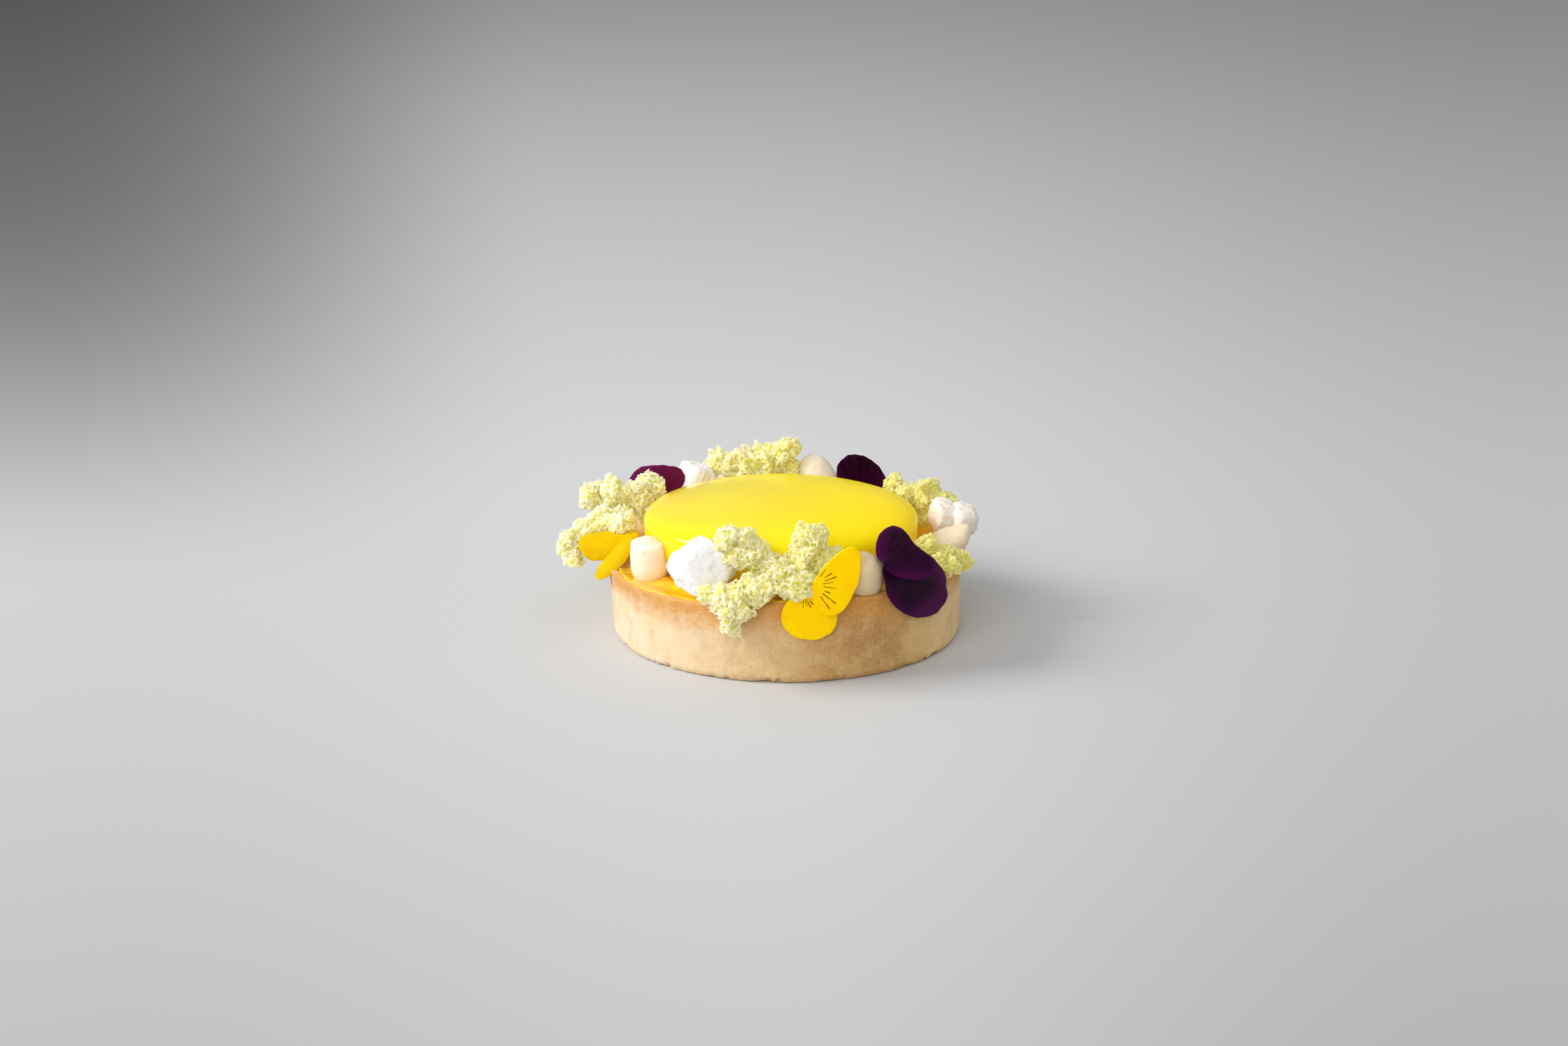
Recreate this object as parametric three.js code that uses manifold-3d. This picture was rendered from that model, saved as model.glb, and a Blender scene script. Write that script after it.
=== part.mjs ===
// A lemon tart, 80 mm across. A straight-sided shortcrust case is filled to its rim with lemon
// curd. A glazed lemon disc sits in the middle, and a ring of toppings runs round it: piped
// vanilla cream dots, torn meringue, airy lime sponge, and purple and yellow viola petals.
// Millimetres, +Z up. The origin is the centre of the case's flat underside. The front of the
// tart faces -Y, and azimuths run from the front (0) towards +X (a quarter turn).
import * as THREE from "three";
import { mergeVertices } from "three/addons/utils/BufferGeometryUtils.js";
import { ImprovedNoise } from "three/addons/math/ImprovedNoise.js";
import Module from "manifold-3d";

const wasm = await Module();
wasm.setup();

// Pastry case: a ring-baked shell whose rim stands a little higher on the right.
const CASE_RADIUS = 40;
const CASE_WALL = 2.8;
const CASE_FLOOR = 3;
const CASE_FOOT = 0.8;
const RIM_HEIGHT = 17.7;
const RIM_TILT = 1.7;
const RIM_TILT_TURN = 0.14;
const RIM_WAVE = 0.2;
const RIM_DIP = 1.2;
const RIM_DIP_AT = -1.62;
const RIM_DIP_WIDTH = 0.25;
const LIP_FLARE_RIGHT = 1.1;
const LIP_FLARE_LEFT = 0.4;
const LIP_FROM = 0.7;
const WALL_WOBBLE = 0.25;
const WOBBLE_SIZE = 8.5;
const RIM_FROM = 32;
const RIM_EDGE = 0.5;
const RIM_TOP = 0.7;
const RIM_SINK = 0.15;
const RIM_BEVEL = 1.4;
const WALL_RINGS = [0.4, 0.72, 0.95];
const CASE_SEGMENTS = 48;

// Lemon curd, level under the disc and following the rim at its edge.
const CURD_LEVEL = 16.75;
const CURD_OVERLAP = 1.1;
const CURD_EDGE = 0.5;
const CURD_BELOW_RIM = 0.35;
const CURD_TOP_BELOW_RIM = 0.05;
const CURD_ABOVE_BEVEL = 0.1;
const CURD_SLOPE = 2;
const CURD_SEGMENTS = 36;

// Glazed disc: a flat-bottomed pebble, a little left of the middle.
const DISC_RADIUS = 31.4;
const DISC_FOOT_RADIUS = 27;
const DISC_WIDEST_AT = 25.5;
const DISC_CROWN = 5.7;
const DISC_OFFSET_X = -1.3;
const DISC_ROUNDNESS = 2.5;
const DISC_SEGMENTS = 36;

// Gap left between a piece and whatever it is cut to fit.
const CLEARANCE = 0.3;
const PETAL_THICKNESS = 0.45;
const PETAL_RINGS = 3;
const PETAL_SIDES = 18;
const DOT_SEGMENTS = 12;

const noise = new ImprovedNoise();
const noiseAt = (x, y, z) => noise.noise(x, y, z);
const azimuthOf = (x, y) => Math.atan2(x, -y);
const smooth = (from, to, value) => THREE.MathUtils.smoothstep(value, from, to);

function rimHeight(azimuth) {
  const tilt = RIM_TILT * Math.sin(azimuth + RIM_TILT_TURN);
  const wave = Math.sin(3 * azimuth + 1) + 0.6 * Math.sin(7 * azimuth + 2);
  const dip = RIM_DIP * Math.exp(-(((azimuth - RIM_DIP_AT) / RIM_DIP_WIDTH) ** 2));
  return RIM_HEIGHT + tilt + RIM_WAVE * wave - dip;
}

// Solids and geometries.

function solidOf(geometry) {
  const bare = new THREE.BufferGeometry();
  bare.setAttribute("position", geometry.getAttribute("position"));
  if (geometry.index) bare.setIndex(geometry.index);
  const merged = mergeVertices(bare, 1e-4);
  const corners = merged.index.array;
  const kept = [];
  for (let i = 0; i < corners.length; i += 3) {
    const [a, b, c] = corners.subarray(i, i + 3);
    if (a !== b && b !== c && c !== a) kept.push(a, b, c);
  }
  return new wasm.Manifold(
    new wasm.Mesh({
      numProp: 3,
      vertProperties: new Float32Array(merged.getAttribute("position").array),
      triVerts: new Uint32Array(kept),
    }),
  );
}

function geometryOf(solid) {
  const mesh = solid.getMesh();
  const geometry = new THREE.BufferGeometry();
  geometry.setAttribute(
    "position",
    new THREE.BufferAttribute(new Float32Array(mesh.vertProperties), 3),
  );
  geometry.setIndex(new THREE.BufferAttribute(new Uint32Array(mesh.triVerts), 1));
  return geometry;
}

// Moves every vertex of a geometry by a function that changes the vertex it is given.
function warped(geometry, warp) {
  const position = geometry.getAttribute("position");
  const point = new THREE.Vector3();
  for (let i = 0; i < position.count; i++) {
    point.fromBufferAttribute(position, i);
    warp(point);
    position.setXYZ(i, point.x, point.y, point.z);
  }
  return geometry;
}

// Moves an outline of [radius, height] pairs outwards, keeping its ends on the axis.
function grown(outline, grow) {
  return outline.map(([radius, height], i) => {
    const before = outline[Math.max(i - 1, 0)];
    const after = outline[Math.min(i + 1, outline.length - 1)];
    const along = new THREE.Vector2(after[0] - before[0], after[1] - before[1]);
    along.normalize();
    if (i === 0 || i === outline.length - 1) {
      return [0, height - Math.sign(along.x) * grow];
    }
    return [radius + along.y * grow, height - along.x * grow];
  });
}

// A solid turned about +Z from an outline that runs from the bottom of the axis to its top.
function turned(outline, segments, warp = () => {}) {
  const points = outline.map(([radius, height]) => new THREE.Vector2(radius, height));
  const geometry = new THREE.LatheGeometry(points, segments);
  geometry.rotateX(Math.PI / 2);
  return solidOf(warped(geometry, warp));
}

function largestPiece(solid) {
  const pieces = solid.decompose();
  pieces.sort((a, b) => b.volume() - a.volume());
  return pieces[0];
}

function cutBy(solid, cutters) {
  const rest = cutters.reduce((left, cutter) => left.subtract(cutter), solid);
  return largestPiece(rest);
}

// The case, the curd and the disc.

// Lifts the outer part of a turned outline, so that its top follows the uneven rim.
function followRim(point) {
  const radius = Math.hypot(point.x, point.y);
  const azimuth = azimuthOf(point.x, point.y);
  const share = smooth(RIM_FROM, CASE_RADIUS - CASE_WALL, radius);
  point.z *= 1 + share * (rimHeight(azimuth) / RIM_HEIGHT - 1);
}

function shapeCase(point) {
  const radius = Math.hypot(point.x, point.y);
  if (radius > RIM_FROM) {
    const azimuth = azimuthOf(point.x, point.y);
    const flare = azimuth > 0 ? LIP_FLARE_RIGHT : LIP_FLARE_LEFT;
    const lip = flare * Math.sin(azimuth) ** 2 * smooth(LIP_FROM, 1, point.z / RIM_HEIGHT);
    const spot = point.clone().divideScalar(WOBBLE_SIZE);
    const wobble = WALL_WOBBLE * noiseAt(spot.x, spot.y, spot.z);
    const outer = smooth(CASE_RADIUS - CASE_WALL, CASE_RADIUS, radius);
    const scale = (radius + outer * (lip + wobble)) / radius;
    point.x *= scale;
    point.y *= scale;
  }
  followRim(point);
}

function pastryCase(grow = 0) {
  const inside = CASE_RADIUS - CASE_WALL;
  const outline = [
    [0, 0],
    [CASE_RADIUS - CASE_FOOT, 0],
    [CASE_RADIUS, CASE_FOOT],
    ...WALL_RINGS.map((share) => [CASE_RADIUS, RIM_HEIGHT * share]),
    [CASE_RADIUS - RIM_EDGE, RIM_HEIGHT],
    [CASE_RADIUS - RIM_EDGE - RIM_TOP, RIM_HEIGHT - RIM_SINK],
    [inside, RIM_HEIGHT - RIM_BEVEL],
    [inside, CASE_FLOOR],
    [0, CASE_FLOOR],
  ];
  return turned(grown(outline, grow), CASE_SEGMENTS, shapeCase);
}

function lemonCurd(grow = 0) {
  const edge = CASE_RADIUS - CASE_WALL - CLEARANCE;
  const foot = CASE_FLOOR + CLEARANCE;
  const outline = [
    [0, foot],
    [edge, foot],
    [edge, RIM_HEIGHT - RIM_BEVEL + CURD_ABOVE_BEVEL],
    [edge + CURD_OVERLAP, RIM_HEIGHT - CURD_BELOW_RIM],
    [edge + CURD_OVERLAP - CURD_EDGE, RIM_HEIGHT - CURD_TOP_BELOW_RIM],
    [edge - CURD_SLOPE, (RIM_HEIGHT + CURD_LEVEL) / 2],
    [RIM_FROM - 1, CURD_LEVEL],
    [0, CURD_LEVEL],
  ];
  return turned(grown(outline, grow), CURD_SEGMENTS, shapeCase);
}

function glazedDisc(grow = 0) {
  const power = 2 / DISC_ROUNDNESS;
  const outline = [[0, CURD_LEVEL]];
  const underSteps = 4;
  for (let i = 0; i <= underSteps; i++) {
    const turn = (i / underSteps) * (Math.PI / 2);
    const out = (DISC_RADIUS - DISC_FOOT_RADIUS) * Math.sin(turn) ** power;
    const down = (DISC_WIDEST_AT - CURD_LEVEL) * Math.max(Math.cos(turn), 0) ** power;
    outline.push([DISC_FOOT_RADIUS + out, DISC_WIDEST_AT - down]);
  }
  const crownSteps = 7;
  for (let i = 1; i <= crownSteps; i++) {
    const turn = (i / crownSteps) * (Math.PI / 2);
    const radius = i < crownSteps ? DISC_RADIUS * Math.cos(turn) ** power : 0;
    outline.push([radius, DISC_WIDEST_AT + DISC_CROWN * Math.sin(turn) ** power]);
  }
  return turned(grown(outline, grow), DISC_SEGMENTS, (point) => {
    point.x += DISC_OFFSET_X;
  });
}

// Piped cream dots: round kisses whose tips lean the way the nozzle left them. A high shoulder
// makes a dot boxy and a tip below zero dents it.
const CREAM_DOTS = [
  {
    name: "cream_dot_left", at: [-30.5, -15, 15.8],
    radius: 4.35, height: 10.5, shoulder: 4.2, tip: -0.9, lean: [-0.1, 0.3],
  },
  {
    name: "cream_dot_left_back", at: [-36, 7.2, 16],
    radius: 3.4, height: 7.4, shoulder: 1.8, tip: 0.2, lean: [0, 0],
  },
  {
    name: "cream_dot_front", at: [16.4, -33.2, 18.9],
    radius: 4.8, height: 8.6, shoulder: 1.7, tip: 0.2, lean: [0.2, 0],
  },
  {
    name: "cream_dot_right", at: [35.8, -2.2, 17.8],
    radius: 5.2, height: 6.2, shoulder: 1.6, tip: 0.4, lean: [4.4, 1.2],
  },
  {
    name: "cream_dot_back", at: [7.3, 38, 18],
    radius: 5.6, height: 11.4, shoulder: 2.1, tip: 1.8, lean: [-0.4, 0],
  },
  {
    name: "cream_dot_back_left", at: [-16.4, 33.6, 17],
    radius: 4.2, height: 9.2, shoulder: 1.5, tip: 0.8, lean: [0.4, 0.3],
  },
];
const DOT_WIDEST_AT = 0.35;
const DOT_FOOT = 0.7;
const DOT_FOOT_NARROWING = 0.25;
const DOT_FULLNESS = 0.8;
const DOT_TIP_FROM = 0.75;
const DOT_LEAN_POWER = 2.5;
const DOT_STEPS = 6;

function creamDot({ at, radius, height, shoulder, tip, lean }, grow = 0) {
  const outline = [[0, 0], [radius * DOT_FOOT, 0]];
  for (let i = 1; i <= DOT_STEPS; i++) {
    const rise = i / DOT_STEPS;
    const above = Math.max(rise - DOT_WIDEST_AT, 0) / (1 - DOT_WIDEST_AT);
    const below = Math.max(DOT_WIDEST_AT - rise, 0) / DOT_WIDEST_AT;
    const round = Math.cos((Math.PI / 2) * above ** shoulder) ** DOT_FULLNESS;
    const foot = 1 - DOT_FOOT_NARROWING * below ** 2;
    const width = i < DOT_STEPS ? radius * round * foot : 0;
    outline.push([width, height * rise + tip * smooth(DOT_TIP_FROM, 1, rise)]);
  }
  return turned(grown(outline, grow), DOT_SEGMENTS, (point) => {
    const share = Math.max(point.z / height, 0) ** DOT_LEAN_POWER;
    point.x += lean[0] * share;
    point.y += lean[1] * share;
    point.add(new THREE.Vector3(...at));
  });
}

// Meringue: roughly square lumps with broken faces and blunt corners. Turn is their rotation
// about X, Y and Z in radians.
const MERINGUES = [
  {
    name: "meringue_front", turn: [0.12, -0.6, 0.5], seed: 3,
    lumps: [{ at: [-18.4, -32.8, 24.2], size: [6.9, 6.2, 5.9] }],
  },
  {
    name: "meringue_right", turn: [0.2, 0.16, 0.35], seed: 8,
    lumps: [
      { at: [36.4, 8, 23.6], size: [3.4, 4.4, 4.5] },
      { at: [40.8, 7.2, 23.2], size: [3.7, 4.4, 4.1] },
    ],
  },
  {
    name: "meringue_back", turn: [-0.1, 0.2, 0.9], seed: 14,
    lumps: [{ at: [-22.2, 33, 25], size: [4.6, 4.6, 6.4] }],
  },
];
const FACE_REACH = 0.82;
const FACE_SPREAD = 0.07;
const CORNER_REACH = 1.1;
const MERINGUE_ROUGHNESS = 0.08;
const ROUGHNESS_SCALE = 2.3;
const LARGE_LUMP = 5;
const LEAST_SLANT = 0.05;

// The six faces of a lump, each at its own distance from the middle.
function brokenFaces({ turn, seed }) {
  const turned = new THREE.Euler(...turn);
  return [-1, 1].flatMap((way) =>
    [0, 1, 2].map((axis) => {
      const normal = new THREE.Vector3().setComponent(axis, way).applyEuler(turned);
      return { normal, reach: FACE_REACH + FACE_SPREAD * Math.sin(seed * 7 + axis * 3 + way) };
    }),
  );
}

function brokenLump({ at, size }, faces, seed, grow) {
  const geometry = new THREE.IcosahedronGeometry(1, size[0] > LARGE_LUMP ? 3 : 2);
  warped(geometry, (point) => {
    const reaches = faces.map(
      ({ normal, reach }) => reach / Math.max(point.dot(normal), LEAST_SLANT),
    );
    const spot = point.clone().multiplyScalar(ROUGHNESS_SCALE);
    const rough = noiseAt(spot.x + seed, spot.y, spot.z);
    point.multiplyScalar(Math.min(...reaches, CORNER_REACH) * (1 + MERINGUE_ROUGHNESS * rough));
    point.multiply(new THREE.Vector3(...size).addScalar(grow));
    point.add(new THREE.Vector3(...at));
  });
  return solidOf(geometry);
}

function tornMeringue({ lumps, turn, seed }, grow = 0) {
  const faces = brokenFaces({ turn, seed });
  const solids = lumps.map((lump) => brokenLump(lump, faces, seed, grow));
  return solids.reduce((whole, solid) => whole.add(solid));
}

// Airy sponge: each piece is a torn cluster of crumbs, given as [x, y, z, radius].
const SPONGES = [
  {
    name: "sponge_front",
    crumbs: [
      [-3.2, -35, 22.6, 3.4], [2.6, -34.8, 22.6, 4.6], [4.4, -34.2, 27.6, 3.9], [3.3, -34, 31, 2.7],
      [6.1, -34.2, 30.9, 2.7], [8.6, -34.4, 25.6, 4],
    ],
  },
  {
    name: "sponge_front_left",
    crumbs: [
      [-5, -34.2, 25.2, 2.8], [-7.4, -33.8, 27.8, 3.3], [-9.2, -33.8, 31.2, 2.1], [-11.2, -34.4, 27, 2.6],
      [-12, -33.8, 31.6, 1.8], [-13.8, -34, 29.6, 1.7],
    ],
  },
  {
    name: "sponge_front_low",
    crumbs: [
      [-6.2, -40.6, 21.4, 3.4], [-10.6, -40.6, 20, 3.2], [-14, -40.6, 19.6, 2.6],
      [-17, -39.6, 20, 1.9], [-11.4, -42.6, 17, 3.2], [-11.6, -43.2, 14.6, 2.5],
    ],
  },
  {
    name: "sponge_front_small",
    crumbs: [[-0.4, -39.9, 22.2, 3], [2.6, -40.3, 22.4, 2.7], [-1.4, -39.8, 24.8, 1.9]],
  },
  {
    name: "sponge_right_front",
    crumbs: [
      [31, -14.4, 23, 2.6], [34.4, -13, 20.8, 3.2], [37, -12, 19.4, 3.2], [33.8, -18.2, 19.6, 2.6],
      [36.4, -17.8, 19.6, 2.3], [39.4, -11, 18.2, 1.8],
    ],
  },
  {
    name: "sponge_right_back",
    crumbs: [
      [33.6, 20, 21.2, 3.1], [29, 20.4, 24.6, 3.4], [33, 19.4, 25.4, 3.7], [37.2, 18.4, 23.2, 3.2],
    ],
  },
  { name: "sponge_back_right", crumbs: [[26.2, 28.8, 22, 3.3], [25.9, 28.2, 25.8, 2.4]] },
  {
    name: "sponge_back",
    crumbs: [
      [-6.6, 37.8, 23.4, 4.5], [-16.4, 38.6, 28.6, 3.5], [-13.4, 38, 28.6, 3.3],
      [-10.4, 37.8, 28.2, 4], [-7.2, 37.6, 28.9, 3.6], [-4.2, 37.4, 28.8, 3.8],
      [-1.4, 37, 30.8, 2.9], [0.6, 36.8, 32.6, 3.1], [1, 36.8, 28, 2.7],
    ],
  },
  {
    name: "sponge_left_back",
    crumbs: [
      [-37, 17.6, 21, 3.7], [-45.9, 17.5, 25.9, 2.8], [-41.6, 17.4, 26.6, 3.4], [-39, 18, 26.4, 3.2],
      [-36.4, 18.8, 25.6, 4], [-32.4, 20.6, 27.8, 3.3],
    ],
  },
  {
    name: "sponge_left",
    crumbs: [
      [-38, 10.4, 21, 3.8], [-37.6, 4.8, 22.6, 2.6], [-42.2, 8.8, 21, 4.2], [-47, 8, 19.2, 3.6],
      [-50.4, 6.6, 17.4, 2.9], [-49.4, 5.6, 14.9, 2.2],
    ],
  },
];
const LARGE_CRUMB = 4.5;
const CRAG_DEPTH = 0.5;
const CRAG_SIZE = 2.4;
const FINE_CRAG = 0.4;
const CRUMB_STRETCH = 0.16;

function crumb([x, y, z, radius], grow = 0) {
  const middle = new THREE.Vector3(x, y, z);
  const stretch = new THREE.Vector3(Math.sin(5 * x), Math.sin(7 * y), Math.sin(9 * z));
  stretch.multiplyScalar(CRUMB_STRETCH).addScalar(1);
  const geometry = new THREE.IcosahedronGeometry(radius, radius > LARGE_CRUMB ? 2 : 1);
  warped(geometry, (point) => {
    const spot = point.clone().add(middle).divideScalar(CRAG_SIZE);
    const fine = FINE_CRAG * noiseAt(2 * spot.x, 2 * spot.y, 2 * spot.z);
    const crag = noiseAt(spot.x, spot.y, spot.z) + fine;
    point.setLength(point.length() * (1 + CRAG_DEPTH * crag) + grow);
    point.multiply(stretch).add(middle);
  });
  return solidOf(geometry);
}

function airySponge({ crumbs }, grow = 0) {
  return crumbs.map((each) => crumb(each, grow)).reduce((whole, each) => whole.add(each));
}

// Viola petals. Each grows from its claw along one direction and faces another; bend curls it
// along its length, roll across its width, and ripple waves its edge.
const PETALS = [
  {
    name: "petal_yellow_front_upper", colour: "yellow",
    claw: [5.4, -42, 22.9], along: [0.99, 0.15, 0.06], facing: [0.14, -0.98, 0.15],
    length: 10.1, width: 18.4, skew: -0.37, taper: 0.5, notch: 0,
    bend: -0.15, roll: -0.2, ripple: 0.12, seed: 1,
  },
  {
    name: "petal_yellow_front_lower", colour: "yellow",
    claw: [3.6, -41.1, 20.9], along: [0.2, 0.01, -0.98], facing: [0.02, -1, 0],
    length: 10.9, width: 13, skew: -0.1, taper: 0.2, notch: 0,
    bend: -0.08, roll: -0.15, ripple: 0.12, seed: 2,
  },
  {
    name: "petal_yellow_left_upper", colour: "yellow",
    claw: [-34, 1.4, 21.3], along: [-1, -0.12, -0.07], facing: [-0.1, -0.45, 0.89],
    length: 14, width: 13.6, skew: -0.1, taper: 0.5, notch: 0,
    bend: -0.1, roll: -1.2, ripple: 0.12, seed: 3,
  },
  {
    name: "petal_yellow_left_lower", colour: "yellow",
    claw: [-35.2, -2.6, 21.8], along: [-0.68, -0.37, -0.64], facing: [-0.55, -0.62, 0.56],
    length: 12.6, width: 5.8, skew: 0, taper: 0.05, notch: 0,
    bend: -0.15, roll: -0.6, ripple: 0.1, seed: 4,
  },
  {
    name: "petal_purple_front_upper", colour: "purple",
    claw: [20.8, -36.2, 25.5], along: [0.66, 0.68, 0.31], facing: [0.26, -0.6, 0.75],
    length: 14.4, width: 16.8, skew: -0.06, taper: 0.3, notch: 0.24,
    bend: -0.2, roll: -0.4, ripple: 0.4, seed: 5,
  },
  {
    name: "petal_purple_front_lower", colour: "purple",
    claw: [20.6, -37.2, 23.4], along: [0.76, 0.61, -0.34], facing: [0.65, -0.74, 0.18],
    length: 23.2, width: 14, skew: 0.22, taper: 0, notch: 0.03,
    bend: -0.25, roll: -0.2, ripple: 0.4, seed: 6,
  },
  {
    name: "petal_purple_back", colour: "purple",
    claw: [18.7, 35, 19.9], along: [-0.03, 0.05, 1], facing: [0, -1, 0.05],
    length: 11.7, width: 11.2, skew: -0.32, taper: -0.25, notch: 0,
    bend: 0.2, roll: -0.3, ripple: 0.25, seed: 7,
  },
  {
    name: "petal_purple_back_left", colour: "purple",
    claw: [-32.6, 27.8, 20.9], along: [0.22, 0, 0.97], facing: [0.05, -1, 0.02],
    length: 11, width: 14.6, skew: 0.2, taper: 0.2, notch: 0.05,
    bend: 0.15, roll: -0.3, ripple: 0.3, seed: 8,
  },
];
const PETAL_HEART = 0.55;
const NOTCH_WIDTH = 0.3;
const FINE_RIPPLE = 0.6;
const SLOPE_STEP = 0.05;

// A point of a petal's middle surface, in its own axes: across, along and facing.
function petalPoint(petal, x, y) {
  const { length, width, bend, roll, ripple, seed } = petal;
  const side = x / (width / 2);
  const reach = y / length;
  const edge = Math.hypot(side, 2 * (reach - PETAL_HEART));
  const turn = Math.atan2(side, reach - PETAL_HEART);
  const broad = Math.sin(3 * turn + seed);
  const wave = ripple * edge ** 3 * (broad + FINE_RIPPLE * Math.sin(5 * turn + 2 * seed));
  return new THREE.Vector3(
    ((width / 2) * Math.sin(roll * side)) / roll,
    (length * Math.sin(bend * reach)) / bend,
    ((width / 2) * (1 - Math.cos(roll * side))) / roll +
      (length * (1 - Math.cos(bend * reach))) / bend + wave,
  );
}

function petalNormal(petal, x, y) {
  const step = SLOPE_STEP;
  const across = petalPoint(petal, x + step, y).sub(petalPoint(petal, x - step, y));
  const along = petalPoint(petal, x, y + step).sub(petalPoint(petal, x, y - step));
  return across.cross(along).normalize();
}

// The point of a petal at a share of the way from its heart to its outline.
function petalFlat(petal, share, turn, grow) {
  const reach = (1 + Math.cos(turn)) / 2;
  const notch = petal.notch * Math.exp(-((Math.sin(turn / 2) / NOTCH_WIDTH) ** 2));
  const narrow = 1 - petal.taper * (1 - reach);
  const x = (petal.width / 2 + grow) * Math.sin(turn) * narrow;
  const y = petal.length * (reach - notch) + grow * Math.cos(turn) + petal.skew * x;
  const heart = petal.length * PETAL_HEART;
  return [share * x, heart + share * (y - heart)];
}

// Adds the corners of one face of a petal to a list, and returns the rings of their numbers.
function petalRings(petal, grow, side, corners) {
  const half = PETAL_THICKNESS / 2 + grow;
  const add = (share, turn) => {
    const [x, y] = petalFlat(petal, share, turn, grow);
    corners.push(petalPoint(petal, x, y).addScaledVector(petalNormal(petal, x, y), side * half));
    return corners.length - 1;
  };
  const turns = Array.from({ length: PETAL_SIDES }, (_, i) => (i / PETAL_SIDES) * 2 * Math.PI);
  const rings = [[add(0, 0)]];
  for (let ring = 1; ring <= PETAL_RINGS; ring++) {
    rings.push(turns.map((turn) => add(ring / PETAL_RINGS, turn)));
  }
  return rings;
}

// The triangles of one face of a petal: a fan at its heart, then strips between its rings.
function petalFaces(rings, side) {
  const faces = [];
  const add = (a, b, c) => faces.push(...(side > 0 ? [a, c, b] : [a, b, c]));
  for (let i = 0; i < PETAL_SIDES; i++) {
    const next = (i + 1) % PETAL_SIDES;
    add(rings[0][0], rings[1][i], rings[1][next]);
    for (let ring = 1; ring < PETAL_RINGS; ring++) {
      const [inner, outer] = [rings[ring], rings[ring + 1]];
      add(inner[i], outer[i], outer[next]);
      add(inner[i], outer[next], inner[next]);
    }
  }
  return faces;
}

// The triangles round a petal's edge, between the outer rings of its faces.
function petalEdge(upper, lower) {
  return upper.flatMap((corner, i) => {
    const next = (i + 1) % upper.length;
    return [corner, upper[next], lower[next], corner, lower[next], lower[i]];
  });
}

function petalFrame({ claw, along, facing }) {
  const lengthwise = new THREE.Vector3(...along).normalize();
  const across = lengthwise.clone().cross(new THREE.Vector3(...facing)).normalize();
  const frame = new THREE.Matrix4();
  frame.makeBasis(across, lengthwise, across.clone().cross(lengthwise));
  return frame.setPosition(...claw);
}

function violaPetal(petal, grow = 0) {
  const corners = [];
  const front = petalRings(petal, grow, 1, corners);
  const back = petalRings(petal, grow, -1, corners);
  const edge = petalEdge(front[PETAL_RINGS], back[PETAL_RINGS]);
  const geometry = new THREE.BufferGeometry().setFromPoints(corners);
  geometry.setIndex([...petalFaces(front, 1), ...petalFaces(back, -1), ...edge]);
  return solidOf(geometry.applyMatrix4(petalFrame(petal)));
}

const FINISHES = {
  pastry: { color: 0xdcb878, roughness: 0.85 },
  curd: { color: 0xf7b512, roughness: 0.2 },
  glaze: { color: 0xfddf2a, roughness: 0.12 },
  cream: { color: 0xf3e4c4, roughness: 0.5 },
  meringue: { color: 0xf7f3ef, roughness: 0.8 },
  sponge: { color: 0xdbd98a, roughness: 0.85 },
  yellow: { color: 0xfcd000, roughness: 0.6 },
  purple: { color: 0x35102c, roughness: 0.6 },
};

function finished(name, solid, finish) {
  const material = new THREE.MeshStandardMaterial({ ...FINISHES[finish], metalness: 0 });
  const mesh = new THREE.Mesh(geometryOf(solid), material);
  mesh.name = name;
  return mesh;
}

// Builds every piece, each cut clear of what was placed before it.
function lemonTart() {
  const tart = new THREE.Group();
  const placed = [];
  const place = (name, make, finish, cutters = []) => {
    tart.add(finished(name, cutters.length ? cutBy(make(0), cutters) : make(0), finish));
    placed.push(make(CLEARANCE));
  };
  place("pastry_case", pastryCase, "pastry");
  place("lemon_curd", lemonCurd, "curd");
  place("glazed_disc", glazedDisc, "glaze");
  for (const dot of CREAM_DOTS) {
    place(dot.name, (grow) => creamDot(dot, grow), "cream", [...placed]);
  }
  for (const petal of PETALS) {
    place(petal.name, (grow) => violaPetal(petal, grow), petal.colour, [...placed]);
  }
  for (const lump of MERINGUES) {
    place(lump.name, (grow) => tornMeringue(lump, grow), "meringue", [...placed]);
  }
  for (const sponge of SPONGES) {
    place(sponge.name, (grow) => airySponge(sponge, grow), "sponge", [...placed]);
  }
  return tart;
}

export default lemonTart();
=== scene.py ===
"""A lemon tart: shortcrust case, lemon curd, a glazed disc, and a ring of cream dots, torn
meringue, airy sponge and viola petals. Lengths are in millimetres until a mesh is made."""

import math

import bmesh
import bpy
import numpy as np
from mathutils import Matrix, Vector, noise


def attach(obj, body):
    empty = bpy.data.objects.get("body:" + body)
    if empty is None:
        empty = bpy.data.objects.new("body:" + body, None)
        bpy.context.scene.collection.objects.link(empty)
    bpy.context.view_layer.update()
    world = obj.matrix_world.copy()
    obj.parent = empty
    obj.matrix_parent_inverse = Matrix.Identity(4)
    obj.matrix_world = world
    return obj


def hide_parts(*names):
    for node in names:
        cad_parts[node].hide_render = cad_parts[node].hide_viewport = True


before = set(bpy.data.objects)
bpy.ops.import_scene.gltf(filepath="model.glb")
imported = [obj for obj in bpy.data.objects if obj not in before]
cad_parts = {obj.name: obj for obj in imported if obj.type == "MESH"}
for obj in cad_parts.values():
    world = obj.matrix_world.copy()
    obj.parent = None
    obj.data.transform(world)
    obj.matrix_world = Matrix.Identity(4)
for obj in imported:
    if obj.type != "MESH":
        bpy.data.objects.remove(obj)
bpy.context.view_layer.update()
MM, TO_MM = 0.001, 1000.0


# Node trees.


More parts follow.
